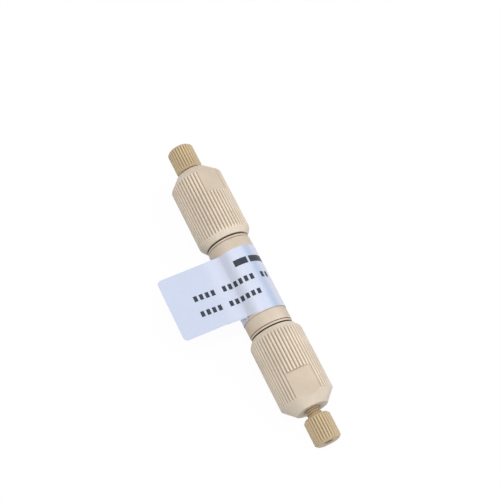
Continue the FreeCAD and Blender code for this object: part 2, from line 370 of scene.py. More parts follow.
@dataclass(frozen=True)
class PrintInk(Recipe):
    """Black thermal print with a slightly uneven density."""

    def dress(self, board: NodeBoard, inputs: Inputs) -> None:
        """Wire this finish, as in Recipe.

        Args:
            board: The material's board.
            inputs: The shader's inputs.
        """
        inputs["IOR"].default_value = 1.45
        worn = board.spread(board.noise(0.5, detail=3.0), 0.0, 0.45)
        board.wire(board.mix(worn, self.shade(1.0), self.shade(1.7)), inputs["Base Color"])
        board.wire(board.spread(board.noise(0.8), 0.3, 0.5), inputs["Roughness"])
        board.wire(board.bump(board.noise(0.2), 0.001), inputs["Normal"])


class Finish(Enum):
    """The finishes of the column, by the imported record's material slot."""

    TUBE = "tube_plastic"
    NUT = "nut_plastic"
    PLUG = "plug_plastic"
    RING = "ring_plastic"
    FRIT = "frit_plastic"
    PACKING = "packing"
    FILM = "label_film"
    INK = "label_ink"


# Each turned plastic gets its colour, then the colour of its painted shade in grooves, bores and the tube's neck.
RECIPES = {
    Finish.TUBE: TurnedPlastic((204, 189, 171), (92, 74, 58)),
    Finish.NUT: TurnedPlastic((221, 208, 190), (172, 152, 130)),
    Finish.PLUG: TurnedPlastic((202, 182, 147), (160, 136, 104)),
    Finish.RING: TurnedPlastic((222, 214, 198), (150, 138, 120)),
    Finish.FRIT: Sintered((226, 220, 208), grain=0.12, relief=0.02),
    Finish.PACKING: Sintered((238, 236, 230), grain=0.06, relief=0.01),
    Finish.FILM: LabelFilm((194, 202, 222), (
        # bands of painted reflection: distance along the film, brightness, blueness
        (14.0, 1.0, 0.0), (18.0, 1.04, -2.0), (22.5, 0.97, -4.0), (25.5, 1.06, -4.0), (28.5, 1.03, 0.0),
        (31.0, 0.92, 6.0), (34.0, 1.02, -3.0), (37.0, 1.0, 0.0))),
    Finish.INK: PrintInk((40, 44, 54)),
}


@cache
def material(finish: Finish) -> bpy.types.Material:
    """The material of a finish, made once."""
    return RECIPES[finish].make(finish.value)


# Turned forms


def rounded(corners: list[Corner], segments: int = 4) -> list[Point]:
    """Round the corners of an open outline.

    Args:
        corners: Corners with the rounding radius of each; the first and last stay sharp.
        segments: Steps along each rounding.

    Returns:
        The outline's points as (along, radius).
    """
    points: list[Point] = [corners[0][:2]]
    for before, (x, r, rounding), after in zip(corners, corners[1:], corners[2:]):
        here = np.array((x, r))
        back, ahead = np.array(before[:2]) - here, np.array(after[:2]) - here
        reach = min(np.linalg.norm(back), np.linalg.norm(ahead))
        back, ahead = back / np.linalg.norm(back), ahead / np.linalg.norm(ahead)
        half = math.acos(float(np.clip(back @ ahead, -1, 1))) / 2
        if rounding <= 0 or half > math.pi / 2 - 1e-3:
            points.append((x, r))
            continue
        tangent = min(rounding / math.tan(half), 0.49 * reach)
        radius = tangent * math.tan(half)
        middle = here + (back + ahead) / np.linalg.norm(back + ahead) * radius / math.sin(half)
        start, end = here + back * tangent - middle, here + ahead * tangent - middle
        sweep = math.acos(float(np.clip(start @ end / radius**2, -1, 1)))
        for step in range(segments + 1):
            share = step / segments
            spoke = (start * math.sin((1 - share) * sweep) + end * math.sin(share * sweep)) / math.sin(sweep)
            points.append(tuple(middle + spoke))
    points.append(corners[-1][:2])
    return points


def divided(points: list[Point], longest: float, between: Point = (-1e9, 1e9)) -> list[Point]:
    """Add points along the straight runs of an outline.

    Args:
        points: The outline as (along, radius).
        longest: Longest step that stays whole.
        between: Only runs inside this stretch of the axis are divided.

    Returns:
        The outline with the added points.
    """
    fine = [points[0]]
    for (x0, r0), (x1, r1) in zip(points, points[1:]):
        inside = between[0] <= min(x0, x1) and max(x0, x1) <= between[1]
        steps = max(1, math.ceil(math.hypot(x1 - x0, r1 - r0) / longest)) if inside else 1
        fine += [(x0 + (x1 - x0) * k / steps, r0 + (r1 - r0) * k / steps) for k in range(1, steps + 1)]
    return fine


GROOVE_HALF, GROOVE_FLOOR = 0.42, 0.9  # half width in pitches, and where the V is cut off to a flat floor


@dataclass(frozen=True)
class Thread:
    """A right-hand screw thread whose groove is cut from a plain cylinder."""

    pitch: float
    depth: float
    start: float  # where the groove begins to run in
    end: float  # where it has run out
    steps: int = 10  # points along one pitch

    def stations(self) -> list[float]:
        """Places along the axis that show the groove."""
        count = math.ceil((self.end - self.start) / self.pitch * self.steps)
        return list(np.linspace(self.start, self.end, count + 1))

    def cut(self, along: float, angles: np.ndarray) -> np.ndarray:
        """Depth of the groove all round at one place.

        Args:
            along: Place along the axis.
            angles: Angles round the axis.

        Returns:
            The depth at each angle.
        """
        turn = np.mod(along / self.pitch - angles / math.tau, 1.0)
        groove = np.clip(1 - np.abs(turn - 0.5) / GROOVE_HALF, 0, GROOVE_FLOOR) / GROOVE_FLOOR
        fade = min(1.0, (along - self.start) / self.pitch, (self.end - along) / self.pitch)
        return self.depth * groove * max(0.0, fade)


@dataclass(frozen=True)
class Flutes:
    """Straight grooves round a grip."""

    count: int
    radius: float
    depth: float
    mouth: float
    phase: float  # in pitches, from the top to the nearest ridge
    sharpness: float = 1.25

    def cut(self, angles: np.ndarray) -> np.ndarray:
        """Depth of the grooves at each angle.

        Args:
            angles: Angles round the axis.

        Returns:
            The depth at each angle.
        """
        pitch = math.tau / self.count
        aside = (np.mod(angles + self.phase * pitch, pitch) - pitch / 2) * self.radius
        wave = 0.5 + 0.5 * np.cos(np.clip(aside / (self.mouth / 2), -1, 1) * math.pi)
        return self.depth * wave**self.sharpness

    def limit(self, radius: float, angles: np.ndarray) -> tuple[np.ndarray, np.ndarray]:
        """Cut the grooves into a ring.

        Args:
            radius: The ring's radius.
            angles: Angles round the axis.

        Returns:
            Radius, and painted shade that grows with the grooves' depth, at each angle.
        """
        result = np.minimum(radius, self.radius - self.cut(angles))
        return result, np.clip((min(radius, self.radius) - result) / self.depth, 0, 1)


NUT_FLUTES = Flutes(count=48, radius=8.75, depth=0.42, mouth=0.86, phase=0.16)
PLUG_FLUTES = Flutes(count=28, radius=4.35, depth=0.34, mouth=0.66, phase=0.5)
OUTLET_PHASE = 0.61  # of the outlet nut's flutes


class TurnedSkin:
    """A skin of rings of points round the X axis, joined each to the next."""

    def __init__(self) -> None:
        """Start with no rings."""
        self.points: list[np.ndarray] = []
        # painted shade of each ring's points, 0 to 1
        self.hollow: list[np.ndarray] = []
        self.faces: list[tuple[int, ...]] = []
        self.rings: list[tuple[int, int]] = []  # first point and number of points
        self.size = 0

    @staticmethod
    def angles(steps: int) -> np.ndarray:
        """Angles of a ring's points, from straight up towards -Y."""
        return np.arange(steps) * math.tau / steps

    def ring(self, along: float, radius: float | np.ndarray, steps: int, hollow: float | np.ndarray = 0.0) -> None:
        """Add a ring and join it to the last one.

        Args:
            along: Place along the axis.
            radius: Radius, one for all or one a point.
            steps: Number of points; one ring's must divide its neighbour's.
            hollow: Painted shade of the surface there, 0 to 1.
        """
        turn = self.angles(steps)
        radii = np.broadcast_to(np.asarray(radius, float), (steps,))
        self.points.append(np.stack([np.full(steps, along), -radii * np.sin(turn), radii * np.cos(turn)], axis=1))
        self.hollow.append(np.broadcast_to(np.asarray(hollow, float), (steps,)))
        self.rings.append((self.size, steps))
        self.size += steps
        if len(self.rings) > 1:
            self._join(self.rings[-2], self.rings[-1])

    def close(self) -> None:
        """Join the last ring to the first."""
        self._join(self.rings[-1], self.rings[0])

    def _join(self, first: tuple[int, int], second: tuple[int, int]) -> None:
        """Faces between two rings.

        Args:
            first: First point and number of points of one ring.
            second: The same of the other ring.
        """
        (a, many), (b, few) = first, second
        if many < few:
            (a, many), (b, few) = (b, few), (a, many)
        share = many // few
        for step in range(few):
            outer = [a + (step * share + k) % many for k in range(share + 1)]
            if few == 1:
                self.faces += [(outer[k], outer[k + 1], b) for k in range(share)]
            else:
                self.faces.append((*outer, b + (step + 1) % few, b + step))

    def piece(self, name: str, place: Matrix, paint: bpy.types.Material, crease: float = 32.0) -> bpy.types.Object:
        """Turn the skin into an object whose place is in its mesh.

        Args:
            name: Name of the piece.
            place: Where the skin goes, in millimetres.
            paint: Its material.
            crease: Edges that turn by more degrees than this stay sharp.

        Returns:
            The object.
        """
        points = np.concatenate(self.points)
        turned = points @ np.array(place.to_3x3()).T + np.array(place.translation)
        mesh = bpy.data.meshes.new(name)
        mesh.from_pydata((turned * MM).tolist(), [], self.faces)
        # the painted shade goes into a point attribute that the plastics' materials read
        mesh.attributes.new(PAINTED_SHADE, "FLOAT", "POINT").data.foreach_set("value", np.concatenate(self.hollow))
        return finished(name, mesh, [paint], crease)


def finished(name: str, mesh: bpy.types.Mesh, paints: list[bpy.types.Material], crease: float) -> bpy.types.Object:
    """Give a closed mesh its outward normals, shading and materials, and put it in the scene.

    Args:
        name: Name of the piece.
        mesh: The mesh.
        paints: Its materials in order.
        crease: Edges that turn by more degrees than this stay sharp.

    Returns:
        The object.
    """
    edit = bmesh.new()
    edit.from_mesh(mesh)
    bmesh.ops.recalc_face_normals(edit, faces=edit.faces)
    edit.to_mesh(mesh)
    edit.free()
    for paint in paints:
        mesh.materials.append(paint)
    mesh.shade_smooth()
    mesh.set_sharp_from_angle(angle=math.radians(crease))
    mesh.update()
    piece = bpy.data.objects.new(name, mesh)
    bpy.context.scene.collection.objects.link(piece)
    return piece


class ColumnEnd(Enum):
    """The two ends of the column."""

    INLET = -1
    OUTLET = 1

    def place(self, along: float, roll: float) -> Matrix:
        """Where a piece drawn outwards from its seat goes.

        Args:
            along: Distance of the seat from the middle of the bed.
            roll: Turn about the axis, degrees, made before the piece faces its end.

        Returns:
            The placement in millimetres.
        """
        facing = Matrix.Rotation(math.pi if self is ColumnEnd.INLET else 0.0, 4, "Z")
        return (Matrix.Translation((self.value * along, 0, 0)) @ facing
                @ Matrix.Rotation(math.radians(roll), 4, "X"))

    def piece(self, kind: str) -> str:
        """Name of this end's piece of a kind."""
        return f"{self.name.lower()}_{kind}"


# Sub-assemblies


@dataclass
class Tube:
    """Barrel with a shoulder ring, a fine turned line and a threaded end on each side."""

    half_length: float = 25.0
    radius: float = 7.15
    bore: float = 2.0
    rim_at: float = 16.6  # nut's rim
    shoulder_gap: float = 0.55
    shoulder_width: float = 0.6
    shoulder_step: float = 0.12
    line_width: float = 0.25
    line_depth: float = 0.22
    neck_radius: float = 6.1
    neck_length: float = 0.9
    thread_radius: float = 6.6
    thread_pitch: float = 1.0
    thread_depth: float = 0.55
    thread_shade: float = 0.8  # painted shade in the thread's root
    end_chamfer: float = 0.4
    bore_ring: float = 3.0  # depth of the last ring inside each mouth
    label_end: float = 10.95  # the film's outlet edge
    label_edge_shade: tuple[Point, ...] = ((0.0, 0.0), (0.06, 0.5), (0.24, 0.4), (0.4, 0.0))  # painted shadow line on the tube beyond that edge, as offset and strength
    neck_sink: float = 0.07  # what lies deeper than this below the ring gets full painted shade
    steps: int = 192

    def half(self) -> list[Triple]:
        """Outline of the outlet half, from the barrel's middle to the bore.

        Returns:
            Points as (along, radius, painted shade).
        """
        face = self.rim_at - self.shoulder_gap
        back = face - self.shoulder_width
        line = back - self.line_width
        start = face + self.neck_length + self.thread_radius - self.neck_radius
        ring = self.radius - self.shoulder_step
        skin = rounded([
            (0.0, self.radius, 0.0), (line, self.radius, 0.06), (line, self.radius - self.line_depth, 0.04),
            (back, self.radius - self.line_depth, 0.04), (back, ring, 0.05), (face, ring, 0.08),
            (face, self.neck_radius, 0.1), (face + self.neck_length, self.neck_radius, 0.1),
            (start, self.thread_radius, 0.0),
        ])
        # painted shade: full on the neck below the shoulder ring
        shaded = [(x, r, 1.0 if r < ring - self.neck_sink else 0.0) for x, r in skin]
        # a thin painted shadow line on the tube beside the label's edge
        shaded[1:1] = [(self.label_end + step, self.radius, shade) for step, shade in self.label_edge_shade]
        end = self.half_length
        mouth = rounded([(end - self.end_chamfer, self.thread_radius, 0.0), (end, self.thread_radius, 0.12),
                         (end, self.bore, 0.05), (end - self.bore_ring, self.bore, 0.0)])
        return shaded + [(x, r, 0.0) for x, r in mouth]

    def build(self) -> Pieces:
        """Make the tube.

        Returns:
            The pieces made.
        """
        outline = self.half()
        start = max(x for x, r, _ in outline if abs(r - self.thread_radius) < 1e-6 and x < self.half_length - 1)
        thread = Thread(self.thread_pitch, self.thread_depth, start, self.half_length - self.end_chamfer)
        skin = TurnedSkin()
        turn = skin.angles(self.steps)

        def side(sign: int) -> list[tuple[float, np.ndarray, float | np.ndarray]]:
            """Rings of one half, from the middle outwards.

            Args:
                sign: 1 for the outlet half, -1 for the inlet half.

            Returns:
                Place, radius and painted shade of each ring.
            """
            rings: list[tuple[float, np.ndarray, float | np.ndarray]] = []
            for x, r, hollow in outline:
                if abs(x - thread.end) < 1e-9 and r > self.thread_radius - 1e-9:
                    for along in thread.stations()[1:-1]:
                        cut = thread.cut(along, turn * sign)
                        rings.append((along, self.thread_radius - cut, self.thread_shade * cut / self.thread_depth))
                rings.append((x, np.full(self.steps, r), hollow))
            return rings

        for sign, rings in ((1, side(1)), (-1, side(-1)[:0:-1])):
            for x, r, hollow in rings:
                skin.ring(sign * x, r, self.steps, hollow)
        skin.close()
        piece = skin.piece("tube", Matrix.Identity(4), material(Finish.TUBE))
        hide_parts("column_tube")
        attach(piece, "column")
        return [piece]


@dataclass
class EndNut:
    """Fluted nut with a bevelled rim, a conical nose, two wrench flats, a port and its threads."""

    end: ColumnEnd
    roll: float
    seat: float = 16.6
    length: float = 27.15
    radius: float = 8.75
    rim_radius: float = 7.25
    rim_length: float = 2.0
    nose_start: float = 23.5
    face_radius: float = 5.3
    flutes: Flutes = NUT_FLUTES
    rim_step: float = 0.12  # longest facet along the rim's bevel
    nose_step: float = 0.07  # and along the nose
    flat_level: float = 7.58
    flat_length: float = 7.9  # back from the start of the nose
    flat_corner: float = 1.1  # rounding of the wall's ends, seen from above
    flat_shade: float = 0.45  # painted shade on the milled flats, which makes them a little darker than the crests
    bore_radius: float = 6.65
    bore_pitch: float = 1.0
    bore_depth: float = 0.4
    bore_start: float = 0.6
    thread_stop: float = 0.5  # plain length between a thread and the wall behind it
    end_wall: float = 9.2
    ring_radius: float = 4.55
    ring_floor: float = 10.4
    passage: float = 0.3
    pocket_radius: float = 0.8
    pocket_depth: float = 1.5
    cone_radius: float = 2.0
    cone_angle: float = 20.0
    port_radius: float = 2.465
    port_pitch: float = 0.794
    port_depth: float = 0.34
    port_floor: float = 19.15
    port_chamfer: float = 0.3
    steps_a_flute: int = 16
    steps_inside: int = 96

    def outside(self) -> list[Point]:
        """Outline from the rim to the flat end of the nose.

        Returns:
            Points as (along, radius).
        """
        points = rounded([
            (0.0, self.rim_radius - 0.3, 0.0), (0.0, self.rim_radius, 0.18), (self.rim_length, self.radius, 1.6),
            (self.nose_start, self.radius, 0.12), (self.length, self.face_radius, 0.14),
            (self.length, self.face_radius - 0.4, 0.0),
        ], segments=6)
        points = divided(points, self.rim_step, (self.rim_length - 0.9, self.rim_length + 0.6))
        return divided(points, self.nose_step, (self.nose_start - 0.05, self.length))

    def limited(self, along: float, radius: float, turn: np.ndarray) -> tuple[np.ndarray, np.ndarray]:
        """Radius and painted shade all round, after the flutes and the flats.

        Args:
            along: Place along the nut.
            radius: Radius of the turned outline there.
            turn: Angles round the axis.

        Returns:
            Radius and painted shade at each angle.
        """
        result, hollow = self.flutes.limit(radius, turn)
        flat = self.flat_level / np.maximum(np.abs(np.cos(turn)), 0.2)
        milled = (flat < result) & (along >= self.wall(turn))
        return np.where(milled, flat, result), np.where(milled, self.flat_shade, hollow)

    @property
    def flat_start(self) -> float:
        """Where the flats begin at the tube side."""
        return self.nose_start - self.flat_length

    def wall(self, turn: np.ndarray) -> np.ndarray:
        """Where the flats begin at each angle: a straight wall whose ends are rounded off.

        Args:
            turn: Angles round the axis.

        Returns:
            Places along the nut.
        """
        half_width = math.sqrt(self.radius**2 - self.flat_level**2)
        aside = np.abs(np.tan(turn)) * self.flat_level
        into = np.clip((aside - half_width + self.flat_corner) / self.flat_corner, 0, 1)
        return self.flat_start + self.flat_corner * (1 - np.sqrt(1 - into**2))

    def build(self) -> Pieces:
        """Make the nut.

        Returns:
            The pieces made.
        """
        skin = TurnedSkin()
        many = self.flutes.count * self.steps_a_flute
        turn, turn_inside = skin.angles(many), skin.angles(self.steps_inside)
        outline = self.outside()
        nose = next(i for i, (x, _) in enumerate(outline) if x > self.flat_start)
        wall = [self.flat_start - 0.01, *np.linspace(self.flat_start + 0.01, self.flat_start + self.flat_corner, 15)]
        outline[nose:nose] = [(x, self.radius) for x in wall]
        for x, r in outline:
            radius, hollow = self.limited(x, r, turn)
            skin.ring(x, radius, many, hollow)
        self.line_inside(skin, turn_inside)
        skin.close()
        name = self.end.piece("end_nut")
        piece = skin.piece(name.replace("end_nut", "fluted_nut"), self.end.place(self.seat, self.roll),
                           material(Finish.NUT))
        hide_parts(name)
        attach(piece, name)
        return [piece]

    def line_inside(self, skin: TurnedSkin, turn: np.ndarray) -> None:
        """Add the port, the ring's recess and the threaded bore.

        Args:
            skin: The skin, whose last ring is the edge of the nose's flat end.
            turn: Angles of the inner rings.
        """
        few = len(turn)
        port = Thread(self.port_pitch, self.port_depth, self.port_floor + self.thread_stop,
                      self.length - self.port_chamfer)
        bore = Thread(self.bore_pitch, self.bore_depth, self.bore_start, self.end_wall - self.thread_stop)
        cone_end = self.port_floor - (self.cone_radius - self.pocket_radius) / math.tan(math.radians(self.cone_angle))
        mouth = rounded([
            (self.length, self.face_radius - 0.8, 0.0), (self.length, self.port_radius + self.port_chamfer, 0.05),
            (self.length - self.port_chamfer, self.port_radius, 0.0)])
        # painted shade inside: light at the port's mouth, darkest within the port, pocket and bore, fading towards
        # the rim
        for x, r in mouth:
            skin.ring(x, r, few, 0.0 if r > self.port_radius + 0.4 else 0.4)
        for x in port.stations()[-2:0:-1]:
            skin.ring(x, self.port_radius + port.cut(x, turn), few, 0.9)
        for x, r in (
            (port.start, self.port_radius), (self.port_floor, self.port_radius), (self.port_floor, self.cone_radius),
            (cone_end, self.pocket_radius), (cone_end - self.pocket_depth, self.pocket_radius),
            (cone_end - self.pocket_depth, self.passage), (self.ring_floor, self.passage),
            (self.ring_floor, self.ring_radius), (self.end_wall, self.ring_radius),
            (self.end_wall, self.bore_radius), (bore.end, self.bore_radius),
        ):
            skin.ring(x, r, few, 0.9)
        for x in bore.stations()[-2:0:-1]:
            skin.ring(x, self.bore_radius + bore.cut(x, turn), few, 0.7)
        skin.ring(bore.start, self.bore_radius, few, 0.6)
        skin.ring(0.08, self.bore_radius, few, 0.4)
        skin.ring(0.0, self.bore_radius + 0.06, few, 0.1)


@dataclass
class FingerPlug:
    """Finger-tight stop plug: a small fluted head with a recess, and a threaded shank that ends in a cone."""

    end: ColumnEnd
    seat: float
    roll: float
    radius: float = 4.35
    length: float = 8.6
    chamfer: float = 0.65
    flutes: Flutes = PLUG_FLUTES
    recess_radius: float = 1.5
    recess_depth: float = 4.5
    recess_sink: float = 0.25
    head_step: float = 0.1  # longest facet along the head
    thread_radius: float = 2.415
    thread_pitch: float = 0.794
    thread_depth: float = 0.46
    thread_end: float = -8.6
    cone_start: float = -9.15
    cone_radius: float = 2.0
    cone_end: float = -12.172
    tip_radius: float = 0.9
    steps_a_flute: int = 12
    steps_inside: int = 112

    def build(self) -> Pieces:
        """Make the plug.

        Returns:
            The pieces made.
        """
        skin = TurnedSkin()
        many, few = self.flutes.count * self.steps_a_flute, self.steps_inside
        turn, turn_inside = skin.angles(many), skin.angles(few)
        floor = self.length - self.recess_depth
        # painted shade in the recess: full at its floor, lighter towards its mouth
        for x, r, hollow in ((floor - 0.5, 0.0, 1.0), (floor, self.recess_radius, 1.0),
                             (self.length - 1.2, self.recess_radius, 0.9),
                             (self.length - self.recess_sink, self.recess_radius, 0.45)):
            skin.ring(x, r, few if r else 1, hollow)
        for x, r in rounded([(self.length - self.recess_sink, self.recess_radius, 0.0),
                             (self.length, self.recess_radius + self.recess_sink, 0.08),
                             (self.length, self.recess_radius + 0.9, 0.0)])[1:]:
            skin.ring(x, r, few)
        head = rounded([
            (self.length, self.radius - self.chamfer - 0.4, 0.0), (self.length, self.radius - self.chamfer, 0.15),
            (self.length - self.chamfer, self.radius, 0.3), (self.chamfer, self.radius, 0.3),
            (0.0, self.radius - self.chamfer, 0.15), (0.0, self.thread_radius + 0.5, 0.0)], segments=5)
        for x, r in divided(head, self.head_step, (-0.1, 1.2)):
            radius, hollow = self.flutes.limit(r, turn)
            skin.ring(x, radius, many, hollow)
        thread = Thread(self.thread_pitch, self.thread_depth, self.thread_end, -0.05)
        # painted shade on the shank, deepest in the thread's root
        skin.ring(0.0, self.thread_radius, few, 0.6)
        for x in thread.stations()[::-1]:
            cut = thread.cut(x, turn_inside)
            skin.ring(x, self.thread_radius - cut, few, 0.25 + 0.75 * cut / self.thread_depth)
        for x, r in rounded([(self.thread_end, self.thread_radius, 0.0), (self.cone_start, self.cone_radius, 0.05),
                             (self.cone_end, self.tip_radius, 0.1), (self.cone_end, 0.3, 0.0)])[1:]:
            skin.ring(x, r, few)
        skin.ring(self.cone_end, 0.0, 1)
        name = self.end.piece("plug")
        piece = skin.piece(name.replace("plug", "finger_plug"), self.end.place(self.seat, self.roll),
                           material(Finish.PLUG))
        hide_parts(name)
        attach(piece, name)
        return [piece]


@dataclass
class BedSupports:
    """The packing, and at each end the frit in its sealing ring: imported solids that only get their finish."""

    nodes: dict[str, Finish] = field(default_factory=lambda: {
        "packed_bed": Finish.PACKING, "inlet_frit": Finish.FRIT, "outlet_frit": Finish.FRIT,
        "inlet_frit_ring": Finish.RING, "outlet_frit_ring": Finish.RING})

    def build(self) -> Pieces:
        """Give each solid its finish.

        Returns:
            The pieces dressed.
        """
        for name, finish in self.nodes.items():
            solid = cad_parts[name]
            for place in solid.material_slots:
                place.material = material(finish)
            if not solid.material_slots:
                solid.data.materials.append(material(finish))
        return [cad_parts[name] for name in self.nodes]


PRINT_START, PRINT_PITCH, PRINT_BAR = 8.2, 1.92, 1.2  # short bars: first place, spacing and length


@dataclass
class WrapLabel:
    """Film label wrapped round the tube, whose two ends meet in a flag, with plain printed bars."""

    tube_radius: float = 7.15
    clearance: float = 0.03
    thickness: float = 0.1
    width: float = 22.6
    shift: float = -0.35
    leave_angle: float = 28.0
    leave_length: float = 2.3
    return_angle: float = 57.0
    rise: float = 5.0
    reach: float = 26.5
    lap_reach: float = 12.7
    corner: float = 1.4
    flag_trim: float = 1.15  # by which the flag's lower edge stands in from the wrapped part's
    trim_from: float = 6.0  # across the film, from its middle, where that trim begins
    slant: float = 0.045  # of the print across the film, per millimetre along it
    slant_from: float = 8.0  # along the film, where the slant begins
    slant_run: float = 30.0  # and how far it goes on
    crease_rounding: float = 1.3
    fold_rounding: float = 0.8
    inner_share: float = 0.96  # of the thickness; keeps the two films of the flag apart
    wrap_steps: int = 97

    @property
    def outer(self) -> float:
        """Radius of the film's outer face on the tube."""
        return self.tube_radius + self.clearance + self.thickness

    def round_tube(self, angle: float) -> Point:
        """A point of the outer face on the tube, at an angle from the top towards -Y."""
        return -self.outer * math.sin(angle), self.outer * math.cos(angle)

    def path(self) -> np.ndarray:
        """The film's outer face in section, from the flag's tip round the tube to the end of the lap.

        Returns:
            Points as rows of (y, z).
        """
        slope = math.tan(math.radians(self.rise))
        leave, back = math.radians(self.leave_angle), math.radians(self.return_angle)
        top = self.round_tube(leave)
        crease = top[0] - self.leave_length * math.cos(leave), top[1] - self.leave_length * math.sin(leave)

        def on_flag(y: float, films: float) -> Point:
            """A point of the flag so many films below its upper face."""
            return y, crease[1] - (y - crease[0]) * slope - films * self.thickness

        level = crease[1] + crease[0] * slope - 2 * self.thickness
        run = ((level + self.outer * (math.sin(back) * slope - math.cos(back)))
               / (math.sin(back) + math.cos(back) * slope))
        fold = on_flag(run * math.cos(back) - self.outer * math.sin(back), 2)
        first = rounded([(*on_flag(-self.reach, 0), 0.0), (*crease, self.crease_rounding), (*top, 0.0)], segments=8)
        wrap = [self.round_tube(a) for a in np.linspace(leave, back - math.tau, self.wrap_steps)[1:-1]]
        last = rounded([(*self.round_tube(back), 0.0), (*fold, self.fold_rounding),
                        (*on_flag(-self.lap_reach, 2), 0.0)], segments=8)
        return np.array(first + wrap + last)


def lengths(path: np.ndarray) -> np.ndarray:
    """Length of a path up to each of its points."""
    return np.concatenate([[0], np.cumsum(np.linalg.norm(np.diff(path, axis=0), axis=1))])


@dataclass(frozen=True)
class PrintBar:
    """One plain bar of the print: a stretch along the film and a stretch across it, from the flag's tip."""

    start: float
    end: float
    low: float
    high: float


def print_bars() -> list[PrintBar]:
    """The printed fields: a heavy heading and two rows of short bars.

    Returns:
        The bars, in millimetres along the film from its tip and across it from its middle.
    """
    bars = [PrintBar(24.7, 29.2, -7.9, -5.9), PrintBar(29.9, 36.4, -7.9, -5.9)]
    for line, low, high in (((4, 6, 2), -2.3, -0.4), ((4, 6), 3.1, 5.0)):
        cell = PRINT_START
        for count in line:
            bars += [PrintBar(cell + PRINT_PITCH * k, cell + PRINT_PITCH * k + PRINT_BAR, low, high)
                     for k in range(count)]
            cell += PRINT_PITCH * (count + 1)
    return bars


@dataclass
class LabelMaker:
    """Builds the label's mesh from its path and its printed bars."""

    label: WrapLabel
    bars: list[PrintBar]
    row_step: float = 0.7
    least_row: float = 0.004
    plain_columns: int = 24
    least_column: float = 0.2

    def rows(self, path: np.ndarray) -> np.ndarray:
        """Distances along the film at which the mesh has a row.

        Args:
            path: The film's outer face in section.

        Returns:
            Sorted distances from the tip.
        """
        runs = lengths(path)
        corner = self.label.corner
        arc = [corner * (1 - math.cos(a)) for a in np.linspace(0, math.pi / 2, 10)]
        edges = [e for bar in self.bars for e in (bar.start, bar.end)]
        flag = list(np.arange(corner, runs[1], self.row_step))
        rows = np.unique(np.round([*runs, *arc, *edges, *flag], 4))
        return rows[np.concatenate([[True], np.diff(rows) > self.least_row])]

    def columns(self) -> np.ndarray:
        """Distances across the film at which the mesh has a column.

        Returns:
            Sorted distances from the film's middle.
        """
        half = self.label.width / 2
        edges = [e for bar in self.bars for e in (bar.low, bar.high)]
        plain = np.linspace(-half, half, self.plain_columns)
        keep = [c for c in plain if min((abs(c - e) for e in edges), default=1) > self.least_column]
        return np.unique(np.round([*keep, *edges], 4))

    def build(self) -> Pieces:
        """Make the label.

        Returns:
            The pieces made.
        """
        label, path = self.label, self.label.path()
        runs = lengths(path)
        rows, columns = self.rows(path), self.columns()
        along = np.gradient(path, runs, axis=0, edge_order=1)
        along /= np.linalg.norm(along, axis=1, keepdims=True)
        outward = np.stack([-along[:, 1], along[:, 0]], axis=1)
        at = [np.interp(rows, runs, path[:, k]) for k in (0, 1)]
        out = [np.interp(rows, runs, outward[:, k]) for k in (0, 1)]
        half = label.width / 2
        inset = np.array([self.corner_inset(d) for d in rows])
        trimmed = [runs[1] - 0.5, runs[10] + 2.0, runs[-10], runs[-2] + 0.5]  # whole, none, none and whole again
        trim = label.flag_trim * np.interp(rows, trimmed, [1, 0, 0, 1])
        lean = label.slant * np.clip(rows - label.slant_from, 0, label.slant_run)
        layers = []
        for depth in (0.0, label.thickness * label.inner_share):
            grid = np.zeros((len(rows), len(columns), 3))
            grid[:, :, 0] = (columns[None, :] * (1 - inset / half)[:, None] + label.shift
                             + lean[:, None] * (1 - (columns / half) ** 2)[None, :]
                             - trim[:, None] * np.clip((columns - label.trim_from) / (half - label.trim_from), 0, 1))
            grid[:, :, 1] = (at[0] - out[0] * depth)[:, None]
            grid[:, :, 2] = (at[1] - out[1] * depth)[:, None]
            layers.append(grid)
        n, m = len(rows), len(columns)
        points = np.concatenate([g.reshape(-1, 3) for g in layers])
        faces: list[tuple[int, ...]] = []
        inks: list[int] = []
        for i in range(n - 1):
            for j in range(m - 1):
                a = i * m + j
                b = a + n * m
                faces += [(a, a + 1, a + m + 1, a + m), (b, b + m, b + m + 1, b + 1)]
                inks += [int(self.inked((rows[i] + rows[i + 1]) / 2, (columns[j] + columns[j + 1]) / 2)), 0]
        rim = ([(i * m, (i + 1) * m) for i in range(n - 1)]
               + [((n - 1) * m + j, (n - 1) * m + j + 1) for j in range(m - 1)]
               + [((i + 1) * m + m - 1, i * m + m - 1) for i in range(n - 1)]
               + [(j + 1, j) for j in range(m - 1)])
        faces += [(a, b, b + n * m, a + n * m) for a, b in rim]
        inks += [0] * len(rim)
        mesh = bpy.data.meshes.new("wrap_label")
        mesh.from_pydata((points * MM).tolist(), [], faces)
        mesh.polygons.foreach_set("material_index", inks)
        sweep = np.tile(np.repeat(rows, m), 2) / RECIPES[Finish.FILM].span
        mesh.attributes.new(SWEEP, "FLOAT", "POINT").data.foreach_set("value", sweep)
        piece = finished("wrap_label", mesh, [material(Finish.FILM), material(Finish.INK)], 50.0)
        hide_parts("flag_label")
        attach(piece, "column")
        return [piece]

    def corner_inset(self, distance: float) -> float:
        """How far the film's edge stands in from its full width, near the tip's rounded corners."""
        corner = self.label.corner
        return corner - math.sqrt(max(0.0, corner**2 - (corner - min(distance, corner)) ** 2))

    def inked(self, along: float, across: float) -> bool:
        """Whether a printed bar covers this place of the film."""
        return any(b.start < along < b.end and b.low < across < b.high for b in self.bars)


# Studio


